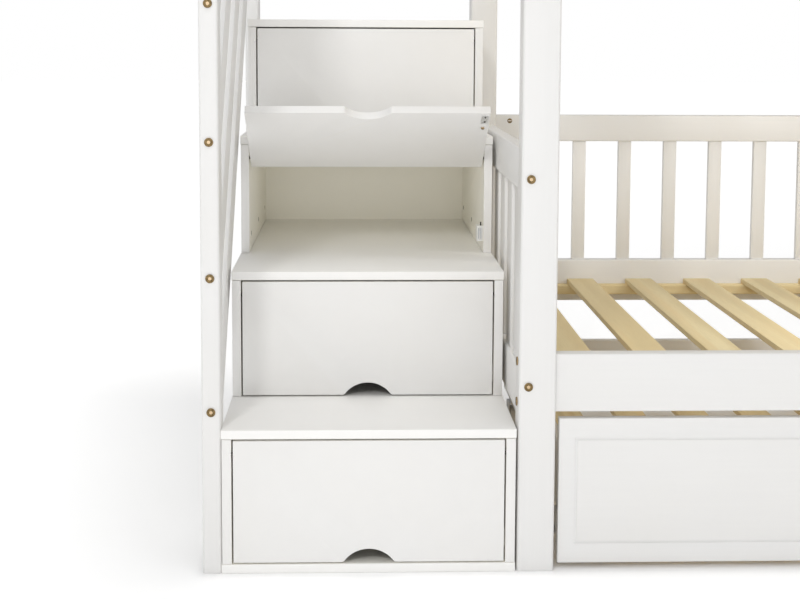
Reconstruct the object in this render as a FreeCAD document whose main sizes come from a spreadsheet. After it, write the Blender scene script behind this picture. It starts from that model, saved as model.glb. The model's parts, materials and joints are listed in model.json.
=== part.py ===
import FreeCAD
import Part

import os
import re

import Sketcher

# Bunk bed with storage stairs. Millimetres, +Z up, the front towards -Y, the stairs at the -X end.
# The origin is on the floor, below the middle of the whole bed.

DOC = FreeCAD.newDocument("BunkBedWithStairs")

# Every size that can be set by itself, in millimetres, degrees or counts.
SIZES = {
    # mattresses that the bed takes, and the room left round them
    "mattress_length": 1905,
    "mattress_width": 990,
    "length_play": 10,
    "width_play": 28,
    # posts
    "post_width": 63,
    "post_depth": 52,
    "post_top": 18,
    "newel_width": 32,
    "newel_depth": 55,
    "post_ease": 3,
    # rails, ledgers and slats of both bunks
    "rail_thick": 28,
    "rail_height": 100,
    "rail_set": 10,
    "lower_rail_level": 276,
    "upper_rail_level": 1130,
    "board_ease": 2,
    "ledger_drop": 19,
    "ledger_height": 23,
    "ledger_thick": 25,
    "slat_width": 64,
    "slat_thick": 12,
    "slat_count": 13,
    "slat_end_gap": 36,
    "slat_play": 1,
    "slat_ease": 1,
    # guards
    "guard_rail_height": 63,
    "guard_slat_width": 31,
    "guard_slat_thick": 14,
    "guard_slat_length": 289,
    "guard_slat_count": 16,
    "landing_rail_spacing": 229,
    "landing_rail_count": 3,
    # end frames
    "end_thick": 24,
    "end_set": 4,
    "end_bottom_drop": 16,
    "end_bottom_height": 82,
    "end_top_height": 72,
    "end_slat_width": 68,
    "end_slat_length": 308,
    "end_slat_count": 8,
    "entry_post_width": 40,
    "entry_opening": 420,
    "entry_slat_count": 4,
    # stair unit
    "stair_width": 500,
    "stair_depth": 1010,
    "stair_gap": 3,
    "tread_depth": 228,
    "board_thick": 16,
    "compartment_height": 217,
    "side_recess": 1,
    "back_thick": 12,
    # flaps, their pins and catches
    "flap_thick": 15,
    "flap_gap": 3,
    "flap_side_gap": 3,
    "notch_width": 87,
    "notch_height": 23,
    "notch_ease": 6,
    "pin_radius": 3,
    "pin_drop": 24,
    "pin_seat": 10,
    "pin_reach": 12,
    "pin_clearance": 0.05,
    "flap_open": 123.5,
    "plate_width": 14,
    "plate_height": 30,
    "plate_thick": 1,
    "plate_inset": 8,
    "plate_side": 2,
    "catch_width": 12,
    "catch_depth": 26,
    "catch_height": 31,
    "catch_lift": 22,
    "catch_clearance": 0.3,
    # stair railing
    "railing_thick": 19,
    "railing_recess": 6,
    "railing_board": 77,
    "railing_tilt": 48.5,
    "railing_start": 258,
    "railing_spacing": 227.5,
    # bolts
    "bolt_radius": 7.5,
    "bolt_head": 2.5,
    "bolt_sides": 10,
    "bolt_lift": 22,
    "end_bolt_reach": 16,
    # trundle
    "trundle_end_gap": 8,
    "trundle_floor_gap": 11,
    "trundle_rail_gap": 12,
    "panel_thick": 18,
    "groove_side": 28,
    "groove_top": 34,
    "groove_width": 4,
    "groove_depth": 2,
    "trundle_inset": 20,
    "trundle_room": 1016,
    "box_level": 60,
    "box_height": 120,
    "bearer_lift": 18,
    "wheel_radius": 25,
    "wheel_width": 20,
    "wheel_play": 2,
    "axle_radius": 4,
    "axle_clearance": 0.05,
    "axle_head": 2,
    "axle_head_reach": 7,
    "fork_thick": 3,
    "fork_reach": 9,
    "fork_depth": 44,
    "caster_set": 120,
}

# Lengths and levels that follow from the sizes above.
DERIVED = {
    "bed_length": "mattress_length + length_play + 2 * (end_thick + end_set)",
    "bed_depth": "mattress_width + width_play + 2 * (rail_thick + rail_set)",
    "whole_length": "newel_width + stair_width + stair_gap + bed_length",
    "left": "-(whole_length + bolt_head) / 2",
    "front": "-bed_depth / 2",
    "stair_left": "left + newel_width",
    "bed_left": "stair_left + stair_width + stair_gap",
    "bed_right": "left + whole_length",
    "span_left": "bed_left + post_width",
    "span": "bed_length - 2 * post_width",
    "post_span": "bed_depth - 2 * post_depth",
    "newel_span": "bed_depth - 2 * newel_depth",
    "step_rise": "compartment_height + board_thick",
    "run": "stair_depth - back_thick",
    "side_left": "stair_left + side_recess",
    "room_left": "side_left + board_thick",
    "room_width": "stair_width - 2 * (side_recess + board_thick)",
    "flap_width": "room_width - 2 * flap_side_gap",
    "flap_hang": "compartment_height - 2 * flap_gap - pin_drop",
    "pin_level": "compartment_height - flap_gap - pin_drop",
    "notch_radius": "(notch_width ^ 2 / 4 + notch_height ^ 2) / (2 * notch_height)",
    "railing_left": "stair_left - railing_recess - railing_thick",
    "slat_rest": "ledger_drop + ledger_height",
    "slat_pitch": "(span - 2 * slat_end_gap - slat_width) / (slat_count - 1)",
    "guard_pitch": "(span + guard_slat_width) / (guard_slat_count + 1)",
    "end_pitch": "(post_span + end_slat_width) / (end_slat_count + 1)",
    "end_left": "bed_left + end_set",
    "end_pair": "bed_length - 2 * end_set - end_thick",
    "rail_front": "front + rail_set",
    "rail_pair": "bed_depth - 2 * rail_set - rail_thick",
    "guard_level": "rail_height + guard_slat_length",
    "post_height": "upper_rail_level + guard_level + guard_rail_height + post_top",
    "end_top_rise": "end_bottom_height + end_slat_length",
    "entry_span": "post_span - entry_opening - entry_post_width",
    "entry_pitch": "(entry_span + end_slat_width) / (entry_slat_count + 1)",
    "box_left": "span_left + trundle_end_gap + trundle_inset",
    "box_length": "span - 2 * (trundle_end_gap + trundle_inset)",
    "box_front": "rail_front + panel_thick",
    "panel_length": "span - 2 * trundle_end_gap",
    "panel_height": "lower_rail_level - trundle_rail_gap - trundle_floor_gap",
    "bearer_level": "box_level + bearer_lift",
    "fork_half": "wheel_width / 2 + wheel_play + fork_thick",
    "caster_left": "box_left + panel_thick / 2",
    "caster_pair": "box_length - panel_thick",
    "caster_front": "box_front + caster_set",
    "caster_run": "trundle_room - 2 * caster_set",
}

STEPS = (1, 2, 3, 4)
OPEN_STEP = 3
RAILING_BOARDS = 6
PARTS = []

# How large an outline is drawn before its formulas move its corners.
DRAFT_RADIUS = 50
DRAFT_STEP = 5


def fill_sheet():
    """Write the sizes as plain numbers, and below them what follows from them."""
    sheet = DOC.addObject("Spreadsheet::Sheet", "Sizes")
    for row, (name, value) in enumerate(SIZES.items(), start=1):
        sheet.set("A%d" % row, name)
        sheet.set("B%d" % row, str(value))
        sheet.setAlias("B%d" % row, name)
    for row, (name, formula) in enumerate(DERIVED.items(), start=len(SIZES) + 2):
        sheet.set("A%d" % row, name)
        sheet.set("B%d" % row, "=" + formula)
        sheet.setAlias("B%d" % row, name)
    DOC.recompute()
    return sheet


def ex(text):
    """Turn a formula in the sizes' names into an expression on the sheet's cells."""
    def cell(match):
        word = match.group(0)
        return "Sizes." + word if word in SIZES or word in DERIVED else word
    return re.sub(r"[a-z][a-z_]*", cell, str(text))


def bind(obj, **formulas):
    """Bind an object's properties to formulas; x, y and z are its place."""
    for name, formula in formulas.items():
        path = "Placement.Base." + name if name in ("x", "y", "z") else name
        obj.setExpression(path, ex(formula))
    return obj


def new_body(label):
    """Make the body of one sub-part."""
    body = DOC.addObject("PartDesign::Body", label)
    body.Label = label
    PARTS.append(body)
    return body


def origin_feature(body, role):
    """Find one of the body's own origin planes or axes."""
    return next(item for item in body.Origin.OriginFeatures if item.Role == role)


def sketch_on(body, role, name):
    """Start a sketch on one of the body's origin planes."""
    sketch = body.newObject("Sketcher::SketchObject", name)
    sketch.AttachmentSupport = (origin_feature(body, role), [""])
    sketch.MapMode = "FlatFace"
    return sketch


def outline(sketch, corners):
    """Draw a closed outline whose corners are bound to formulas."""
    count = len(corners)
    first = sketch.GeometryCount
    spots = []
    for index in range(count):
        turn = FreeCAD.Rotation(FreeCAD.Vector(0, 0, 1), 225 + 360 * index / count)
        spots.append(turn.multVec(FreeCAD.Vector(DRAFT_RADIUS + DRAFT_STEP * first, 0, 0)))
    for index in range(count):
        line = Part.LineSegment(spots[index], spots[(index + 1) % count])
        sketch.addGeometry(line, False)
    for index in range(count):
        end, start = first + index, first + (index + 1) % count
        sketch.addConstraint(Sketcher.Constraint("Coincident", end, 2, start, 1))
    for index, corner in enumerate(corners):
        spot = spots[index]
        for kind, value, formula in zip(("DistanceX", "DistanceY"), (spot.x, spot.y), corner):
            row = Sketcher.Constraint(kind, -1, 1, first + index, 1, value)
            number = sketch.addConstraint(row)
            sketch.setExpression("Constraints[%d]" % number, ex(formula))
    return sketch


def circle(sketch, across, up, radius):
    """Draw a circle whose centre and radius are bound to formulas."""
    shape = Part.Circle(FreeCAD.Vector(1, 1, 0), FreeCAD.Vector(0, 0, 1), DRAFT_STEP)
    index = sketch.addGeometry(shape, False)
    for kind, formula in (("DistanceX", across), ("DistanceY", up)):
        number = sketch.addConstraint(Sketcher.Constraint(kind, -1, 1, index, 3, 1))
        sketch.setExpression("Constraints[%d]" % number, ex(formula))
    number = sketch.addConstraint(Sketcher.Constraint("Radius", index, DRAFT_STEP))
    sketch.setExpression("Constraints[%d]" % number, ex(radius))
    return sketch


def board_corners(width, height, ease):
    """Return the corners of a board's section, each cut by a small ease if there is one."""
    w, h, c = "(%s)" % width, "(%s)" % height, "(%s)" % ease
    if not ease:
        return [("0", "0"), (w, "0"), (w, h), ("0", h)]
    return [
        (c, "0"),
        (w + " - " + c, "0"),
        (w, c),
        (w, h + " - " + c),
        (w + " - " + c, h),
        (c, h),
        ("0", h + " - " + c),
        ("0", c),
    ]


def extrude(body, sketch, length, reverse=False):
    """Pad a sketch by a formula's length."""
    pad = body.newObject("PartDesign::Pad", "Pad")
    pad.Profile = sketch
    pad.Reversed = reverse
    bind(pad, Length=length)
    return pad


def repeat(body, feature, first, second=None):
    """Repeat a feature along one or two axes, each given as axis, run and count."""
    row = body.newObject("PartDesign::LinearPattern", "Row")
    row.Originals = [feature]
    row.Direction = (origin_feature(body, first[0] + "_Axis"), [""])
    bind(row, Length=first[1], Occurrences=first[2])
    if second:
        row.Direction2 = (origin_feature(body, second[0] + "_Axis"), [""])
        bind(row, Length2=second[1], Occurrences2=second[2])
    body.Tip = row
    return row


def board(label, place, size, along, ease="board_ease", copies=None, more=None):
    """Make a straight board with eased long edges, and its equal copies if it has any.

    along is the axis that the board's length follows; without an ease its edges are square;
    copies and more are rows of axis, run from the first copy to the last, and count.
    """
    body = new_body(label)
    roles = {"X": ("YZ_Plane", 1, 2), "Y": ("XZ_Plane", 0, 2), "Z": ("XY_Plane", 0, 1)}
    role, across, up = roles[along]
    sketch = sketch_on(body, role, "Section")
    outline(sketch, board_corners(size[across], size[up], ease))
    pad = extrude(body, sketch, size["XYZ".index(along)], reverse=along == "Y")
    if copies:
        repeat(body, pad, copies, more)
    bind(body, x=place[0], y=place[1], z=place[2])
    return body


def bore(body, radius, depth, axis, place):
    """Cut a round hole that starts at a place and runs along an axis."""
    hole = body.newObject("PartDesign::SubtractiveCylinder", "Bore")
    turned = FreeCAD.Rotation(FreeCAD.Vector(0, 0, 1), FreeCAD.Vector(*axis))
    hole.Placement = FreeCAD.Placement(FreeCAD.Vector(), turned)
    bind(hole, Radius=radius, Height=depth, x=place[0], y=place[1], z=place[2])
    return hole


def make_stair_unit():
    """Make the stairs: full-width boards with side panels standing between them."""
    board("stair_floor_board", ("stair_left", "front", "0"),
          ("stair_width", "run", "board_thick"), "X", "side_recess")
    for step in STEPS:
        start = "%d * tread_depth" % (step - 1)
        level = "board_thick + %d * step_rise" % (step - 1)
        board("stair_tread_%d" % step, ("stair_left", "front + " + start,
                                        level + " + compartment_height"),
              ("stair_width", "run - " + start, "board_thick"), "X", "side_recess")
        make_side_panels(step, start, level)
    board("stair_back_panel", ("stair_left", "front + run", "0"),
          ("stair_width", "back_thick", "board_thick + %d * step_rise" % len(STEPS)), "Z",
          "side_recess")


def make_side_panels(step, start, level):
    """Make the two side panels of a step, with the blind holes that hold the flap's pins."""
    body = new_body("stair_sides_%d" % step)
    sketch = sketch_on(body, "XY_Plane", "Section")
    for shift in ("0", "room_width + board_thick"):
        corners = [(shift, "0"), (shift + " + board_thick", "0"),
                   (shift + " + board_thick", "run - " + start), (shift, "run - " + start)]
        outline(sketch, corners)
    extrude(body, sketch, "compartment_height")
    for side, place in ((-1, "board_thick"), (1, "board_thick + room_width")):
        bore(body, "pin_radius", "pin_seat", (side, 0, 0), (place, "flap_thick / 2", "pin_level"))
    bind(body, x="side_left", y="front + " + start, z=level)


def make_flap(step):
    """Make the drop front of one step; its own origin is on its pin axis."""
    body = new_body("flap_%d" % step)
    sketch = sketch_on(body, "XZ_Plane", "Face")
    corners = [("0", "-flap_hang"), ("flap_width", "-flap_hang"), ("flap_width", "pin_drop"),
               ("0", "pin_drop")]
    outline(sketch, corners)
    pad = extrude(body, sketch, "flap_thick")
    pad.SideType = "Symmetric"
    notch = sketch_on(body, "XZ_Plane", "FingerNotch")
    circle(notch, "flap_width / 2", "notch_height - notch_radius - flap_hang", "notch_radius")
    cut = body.newObject("PartDesign::Pocket", "Notch")
    cut.Profile = notch
    cut.Type = "ThroughAll"
    cut.SideType = "Symmetric"
    DOC.recompute()
    ease_notch(body, cut)
    for turn, place in ((1, "0"), (-1, "flap_width")):
        bore(body, "pin_radius + pin_clearance", "pin_reach + flap_gap / 2", (turn, 0, 0),
             (place, "0", "0"))
    place_on_pins(body, step)


def ease_notch(body, cut):
    """Round the two corners where the finger notch meets the flap's lower edge."""
    low = cut.Shape.BoundBox.ZMin
    corners = []
    for index, edge in enumerate(cut.Shape.Edges, start=1):
        box = edge.BoundBox
        inside = box.XMin > 1 and box.XMax < cut.Shape.BoundBox.XMax - 1
        if inside and abs(box.ZMax - low) < 0.01 and box.YLength > 1 and box.XLength < 0.01:
            corners.append("Edge%d" % index)
    ease = body.newObject("PartDesign::Fillet", "NotchEase")
    ease.Base = (cut, corners)
    bind(ease, Radius="notch_ease")
    body.Tip = ease
    return ease


def place_on_pins(body, step, across="0"):
    """Hang a piece that has its origin on the pin axis at its step, open or closed."""
    body.Placement.Rotation = FreeCAD.Rotation(FreeCAD.Vector(-1, 0, 0), 0)
    bind(body, x="room_left + flap_side_gap + " + across,
         y="front + %d * tread_depth + flap_thick / 2" % (step - 1),
         z="board_thick + %d * step_rise + pin_level" % (step - 1))
    if step == OPEN_STEP:
        body.Placement.Rotation = FreeCAD.Rotation(FreeCAD.Vector(-1, 0, 0), 10)
        body.setExpression("Placement.Rotation.Angle", ex("flap_open"))


def make_strike_plate(step):
    """Make the steel plate that the magnet holds, on the flap's inner face."""
    body = new_body("strike_plate_%d" % step)
    sketch = sketch_on(body, "XZ_Plane", "Face")
    right = "flap_width - plate_side"
    low = "plate_inset - flap_hang"
    outline(sketch, [
        (right + " - plate_width", low),
        (right, low),
        (right, low + " + plate_height"),
        (right + " - plate_width", low + " + plate_height"),
    ])
    pad = extrude(body, sketch, "plate_thick", reverse=True)
    sketch.AttachmentOffset = FreeCAD.Placement()
    sketch.setExpression("AttachmentOffset.Base.z", ex("-flap_thick / 2"))
    place_on_pins(body, step)
    return pad


def make_flap_pins():
    """Make the eight steel pins, one at each end of each flap."""
    body = new_body("flap_pins")
    sketch = sketch_on(body, "YZ_Plane", "Section")
    for step in STEPS:
        circle(sketch, "%d * tread_depth" % (step - 1), "%d * step_rise" % (step - 1), "pin_radius")
    reach = "pin_seat + flap_side_gap + pin_reach"
    pad = extrude(body, sketch, reach)
    repeat(body, pad, ("X", "room_width + 2 * pin_seat - (%s)" % reach, "2"))
    bind(body, x="room_left - pin_seat", y="front + flap_thick / 2", z="board_thick + pin_level")


def make_catches():
    """Make the magnetic catches, one at the right-hand side panel of each compartment."""
    body = new_body("magnet_catches")
    sketch = sketch_on(body, "YZ_Plane", "Section")
    for step in STEPS:
        low = "%d * step_rise" % (step - 1)
        near = "%d * tread_depth" % (step - 1)
        outline(sketch, [
            (near, low),
            (near + " + catch_depth", low),
            (near + " + catch_depth", low + " + catch_height"),
            (near, low + " + catch_height"),
        ])
    extrude(body, sketch, "catch_width")
    bind(body, x="room_left + room_width - catch_width",
         y="front + flap_thick + plate_thick + catch_clearance", z="board_thick + catch_lift")


def make_posts():
    """Make the two slim stair posts and the four bed posts."""
    rear = "-front - "
    for label, place in (("front", "front"), ("rear", rear + "newel_depth")):
        board("stair_post_" + label, ("left", place, "0"),
              ("newel_width", "newel_depth", "post_height"), "Z", "post_ease")
    for side, across in (("left", "bed_left"), ("right", "bed_right - post_width")):
        for label, place in (("front", "front"), ("rear", rear + "post_depth")):
            board("bed_post_%s_%s" % (label, side), (across, place, "0"),
                  ("post_width", "post_depth", "post_height"), "Z", "post_ease")


def make_railing():
    """Make the slanted boards beside the stairs, cut to the opening between the two posts."""
    strips = []
    for index in range(RAILING_BOARDS):
        strip = DOC.addObject("Part::Box", "Strip")
        strip.Placement.Rotation = FreeCAD.Rotation(FreeCAD.Vector(1, 0, 0), 10)
        strip.setExpression("Placement.Rotation.Angle", ex("railing_tilt"))
        reach = "railing_board"
        tilt = "railing_tilt * 1deg"
        bind(strip, Length="railing_thick", Width="2 * newel_span + post_height",
             Height="railing_board", x="railing_left",
             y="front + newel_depth - %s * cos(%s) + %s / 2 * sin(%s)" % (reach, tilt, reach, tilt),
             z="railing_start + %d * railing_spacing - %s * sin(%s) - %s / 2 * cos(%s)"
               % (index, reach, tilt, reach, tilt))
        strips.append(strip)
    rows = DOC.addObject("Part::Compound", "Strips")
    rows.Links = strips
    opening = DOC.addObject("Part::Box", "RailingOpening")
    bind(opening, Length="railing_thick", Width="newel_span",
         Height="upper_rail_level + guard_level", x="railing_left", y="front + newel_depth", z="0")
    railing = DOC.addObject("Part::Common", "railing_boards")
    railing.Label = "railing_boards"
    railing.Base = rows
    railing.Tool = opening
    PARTS.append(railing)
    board("railing_top_rail", ("left + (newel_width - end_thick) / 2", "front + newel_depth",
                               "upper_rail_level + guard_level"),
          ("end_thick", "newel_span", "guard_rail_height"), "Y")
    board("landing_guard_rails",
          ("stair_left", "rail_front + rail_pair",
           "upper_rail_level + guard_level - landing_rail_spacing * (landing_rail_count - 1)"),
          ("stair_width + stair_gap", "rail_thick", "guard_rail_height"), "X", "board_ease",
          ("Z", "landing_rail_spacing * (landing_rail_count - 1)", "landing_rail_count"))


def make_bunk(name, level):
    """Make the rails, ledgers and slats that carry one mattress."""
    board(name + "_side_rails", ("span_left", "rail_front", level),
          ("span", "rail_thick", "rail_height"), "X", "board_ease", ("Y", "rail_pair", "2"))
    board(name + "_ledgers", ("span_left", "rail_front + rail_thick", level + " + ledger_drop"),
          ("span", "ledger_thick", "ledger_height"), "X", "board_ease",
          ("Y", "rail_pair - rail_thick - ledger_thick", "2"))
    board(name + "_slats",
          ("span_left + slat_end_gap", "rail_front + rail_thick + slat_play",
           level + " + slat_rest"),
          ("slat_width", "rail_pair - rail_thick - 2 * slat_play", "slat_thick"), "Y", "slat_ease",
          ("X", "slat_pitch * (slat_count - 1)", "slat_count"))


def make_guards():
    """Make the guard rails and their upright slats along the length of the bed."""
    inset = "(rail_thick - guard_slat_thick) / 2"
    rear = "rail_front + rail_pair"
    slat = ("guard_slat_width", "guard_slat_thick", "guard_slat_length")
    row = ("X", "guard_pitch * (guard_slat_count - 1)", "guard_slat_count")
    first = "span_left + guard_pitch - guard_slat_width"
    board("lower_guard_rail", ("span_left", rear, "lower_rail_level + guard_level"),
          ("span", "rail_thick", "guard_rail_height"), "X")
    board("lower_guard_slats", (first, rear + " + " + inset, "lower_rail_level + rail_height"),
          slat, "Z", None, row)
    board("upper_guard_rails", ("span_left", "rail_front", "upper_rail_level + guard_level"),
          ("span", "rail_thick", "guard_rail_height"), "X", "board_ease", ("Y", "rail_pair", "2"))
    board("upper_guard_slats", (first, "rail_front + " + inset, "upper_rail_level + rail_height"),
          slat, "Z", None, row, ("Y", "rail_pair", "2"))


def make_end_frames():
    """Make the end frames; the upper left one leaves a way in from the stairs."""
    rear = "front + post_depth"
    slat = ("guard_slat_thick", "end_slat_width", "end_slat_length")
    middle = "end_left + (end_thick - guard_slat_thick) / 2"
    pair = ("X", "end_pair", "2")
    row = ("Y", "end_pitch * (end_slat_count - 1)", "end_slat_count")
    first = rear + " + end_pitch - end_slat_width"
    for name in ("lower", "upper"):
        low = name + "_rail_level - end_bottom_drop"
        board(name + "_end_bottom_rails", ("end_left", rear, low),
              ("end_thick", "post_span", "end_bottom_height"), "Y", "board_ease", pair)
    low = "lower_rail_level - end_bottom_drop"
    board("lower_end_top_rails", ("end_left", rear, low + " + end_top_rise"),
          ("end_thick", "post_span", "end_top_height"), "Y", "board_ease", pair)
    board("lower_end_slats", (middle, first, low + " + end_bottom_height"), slat, "Z", None, row,
          pair)
    low = "upper_rail_level - end_bottom_drop"
    board("upper_end_top_rail", ("end_left + end_pair", rear, low + " + end_top_rise"),
          ("end_thick", "post_span", "end_top_height"), "Y")
    board("upper_end_slats", (middle + " + end_pair", first, low + " + end_bottom_height"), slat,
          "Z", None, row)
    make_entry(rear, low, slat, middle)


def make_entry(rear, low, slat, middle):
    """Make the short guard beside the way in from the stairs."""
    post_place = rear + " + entry_span"
    board("entry_post", ("end_left + (end_thick - entry_post_width) / 2 + end_set", post_place,
                         low + " + end_bottom_height"),
          ("entry_post_width", "entry_post_width",
           "post_height - upper_rail_level + end_bottom_drop - end_bottom_height"), "Z",
          "board_ease")
    board("entry_rail", ("end_left", rear, low + " + end_top_rise"),
          ("end_thick", "entry_span", "end_top_height"), "Y")
    board("entry_slats", (middle, rear + " + entry_pitch - end_slat_width",
                          low + " + end_bottom_height"), slat, "Z", None,
          ("Y", "entry_pitch * (entry_slat_count - 1)", "entry_slat_count"))


def make_trundle():
    """Make the pull-out bed that runs on four casters under the lower bunk."""
    make_trundle_front()
    board("trundle_back", ("box_left", "box_front + trundle_room", "box_level"),
          ("box_length", "panel_thick", "box_height"), "X")
    board("trundle_ends", ("box_left", "box_front", "box_level"),
          ("panel_thick", "trundle_room", "box_height"), "Y", "board_ease",
          ("X", "box_length - panel_thick", "2"))
    board("trundle_bearers", ("box_left + panel_thick", "box_front", "bearer_level"),
          ("box_length - 2 * panel_thick", "ledger_thick", "ledger_height"), "X", "board_ease",
          ("Y", "trundle_room - ledger_thick", "2"))
    pitch = "(box_length - 2 * panel_thick - 2 * slat_end_gap - slat_width)"
    board("trundle_slats", ("box_left + panel_thick + slat_end_gap", "box_front + slat_play",
                            "bearer_level + ledger_height"),
          ("slat_width", "trundle_room - 2 * slat_play", "slat_thick"), "Y", "slat_ease",
          ("X", pitch, "slat_count"))
    make_casters()


def make_trundle_front():
    """Make the front panel with its thin grooved rectangle."""
    body = new_body("trundle_front")
    sketch = sketch_on(body, "XZ_Plane", "Face")
    outline(sketch, [("0", "0"), ("panel_length", "0"), ("panel_length", "panel_height"),
                     ("0", "panel_height")])
    extrude(body, sketch, "panel_thick", reverse=True)
    groove = sketch_on(body, "XZ_Plane", "GrooveLines")
    for side, top in (("groove_side", "groove_top"),
                      ("groove_side + groove_width", "groove_top + groove_width")):
        outline(groove, [
            (side, top),
            ("panel_length - (%s)" % side, top),
            ("panel_length - (%s)" % side, "panel_height - (%s)" % top),
            (side, "panel_height - (%s)" % top),
        ])
    cut = body.newObject("PartDesign::Pocket", "Groove")
    cut.Profile = groove
    bind(cut, Length="groove_depth")
    bind(body, x="span_left + trundle_end_gap", y="rail_front", z="trundle_floor_gap")


def make_casters():
    """Make the four fixed casters: forks, axles, and a wheel for each."""
    forks = new_body("caster_forks")
    sketch = sketch_on(forks, "XZ_Plane", "Arch")
    low, top = "wheel_radius - fork_reach", "box_level - fork_thick"
    outline(sketch, [
        ("-fork_half", low), ("fork_thick - fork_half", low), ("fork_thick - fork_half", top),
        ("fork_half - fork_thick", top), ("fork_half - fork_thick", low), ("fork_half", low),
        ("fork_half", "box_level"), ("-fork_half", "box_level"),
    ])
    pad = extrude(forks, sketch, "fork_depth")
    pad.SideType = "Symmetric"
    eye = sketch_on(forks, "YZ_Plane", "AxleEye")
    circle(eye, "0", "wheel_radius", "axle_radius")
    hole = forks.newObject("PartDesign::Pocket", "Eye")
    hole.Profile = eye
    hole.Type = "ThroughAll"
    hole.SideType = "Symmetric"
    row = repeat(forks, pad, ("X", "caster_pair", "2"), ("Y", "caster_run", "2"))
    row.Originals = [pad, hole]
    bind(forks, x="caster_left", y="caster_front", z="0")
    make_axles()
    for index, (across, along) in enumerate((("0", "0"), ("caster_pair", "0"),
                                             ("0", "caster_run"),
                                             ("caster_pair", "caster_run")), start=1):
        make_wheel(index, across, along)


def make_axles():
    """Make the four axles, each with a six-sided head at both ends."""
    axles = new_body("caster_axles")
    sketch = sketch_on(axles, "YZ_Plane", "Section")
    circle(sketch, "0", "0", "axle_radius")
    shaft = extrude(axles, sketch, "2 * fork_half")
    shaft.SideType = "Symmetric"
    features = [shaft]
    for side, reverse in (("fork_half", False), ("-fork_half", True)):
        face = sketch_on(axles, "YZ_Plane", "HeadFace")
        outline(face, [("axle_head_reach * cos(%d)" % turn, "axle_head_reach * sin(%d)" % turn)
                       for turn in range(0, 360, 60)])
        face.setExpression("AttachmentOffset.Base.z", ex(side))
        features.append(extrude(axles, face, "axle_head", reverse))
    row = repeat(axles, features[-1], ("X", "caster_pair", "2"), ("Y", "caster_run", "2"))
    row.Originals = features
    bind(axles, x="caster_left", y="caster_front", z="wheel_radius")


def make_wheel(index, across, along):
    """Make one wheel with its running bore."""
    wheel = new_body("wheel_%d" % index)
    sketch = sketch_on(wheel, "YZ_Plane", "Section")
    circle(sketch, "0", "0", "wheel_radius")
    circle(sketch, "0", "0", "axle_radius + axle_clearance")
    rim = extrude(wheel, sketch, "wheel_width")
    rim.SideType = "Symmetric"
    bind(wheel, x="caster_left + " + across, y="caster_front + " + along, z="wheel_radius")


def make_bolts():
    """Make the bolt heads on the posts' outer faces."""
    heads = []

    def head(axis, x, y, z):
        bolt = DOC.addObject("Part::Prism", "BoltHead")
        turned = FreeCAD.Rotation(FreeCAD.Vector(0, 0, 1), FreeCAD.Vector(*axis))
        bolt.Placement = FreeCAD.Placement(FreeCAD.Vector(), turned)
        bind(bolt, Polygon="bolt_sides", Circumradius="bolt_radius", Height="bolt_head",
             x=x, y=y, z=z)
        heads.append(bolt)

    for index in range(RAILING_BOARDS):
        head((0, -1, 0), "left + newel_width / 2", "front",
             "railing_start + bolt_lift + %d * railing_spacing" % index)
    end_levels = []
    for bunk in ("lower", "upper"):
        low = bunk + "_rail_level - end_bottom_drop"
        end_levels.append(low + " + 3 * end_bottom_height / 4")
        end_levels.append(low + " + end_top_rise + end_top_height / 3")
    for across in ("bed_left + end_bolt_reach", "bed_right - end_bolt_reach"):
        for turn, face in ((-1, "front"), (1, "-front")):
            for level in end_levels:
                head((0, turn, 0), across, face, level)
    for turn, face in ((-1, "bed_left"), (1, "bed_right")):
        for across in ("rail_front + rail_thick / 2", "rail_front + rail_pair + rail_thick / 2"):
            for bunk in ("lower", "upper"):
                for share in ("0.15", "0.85"):
                    head((turn, 0, 0), face, across,
                         "%s_rail_level + %s * rail_height" % (bunk, share))
    bolts = DOC.addObject("Part::Compound", "bolts")
    bolts.Label = "bolts"
    bolts.Links = heads
    PARTS.append(bolts)


def check_document():
    """Stop if any object failed or any sub-part has no sound shape."""
    for item in DOC.Objects:
        if "Invalid" in item.State or "Error" in item.State:
            raise RuntimeError("failed object: " + item.Name)
    for item in PARTS:
        if item.Shape.isNull() or not item.Shape.isValid() or not item.Shape.Solids:
            raise RuntimeError("no sound shape: " + item.Label)


def main():
    """Build every sub-part and write each one to its own file."""
    fill_sheet()
    make_stair_unit()
    for step in STEPS:
        make_flap(step)
        make_strike_plate(step)
    make_flap_pins()
    make_catches()
    make_posts()
    make_railing()
    make_bunk("lower", "lower_rail_level")
    make_bunk("upper", "upper_rail_level")
    make_guards()
    make_end_frames()
    make_trundle()
    make_bolts()
    DOC.recompute()
    check_document()
    os.makedirs("parts", exist_ok=True)
    for item in PARTS:
        item.Shape.exportStep(os.path.join("parts", item.Label + ".step"))
        print("%-26s %3d solids" % (item.Label, len(item.Shape.Solids)))


main()
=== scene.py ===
"""Looks of the bunk bed with storage stairs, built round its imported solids."""

import json
import logging
import math
from dataclasses import dataclass
from enum import Enum
from typing import Callable, Iterable, Sequence

import bmesh
import bpy
from mathutils import Matrix, Vector

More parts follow.
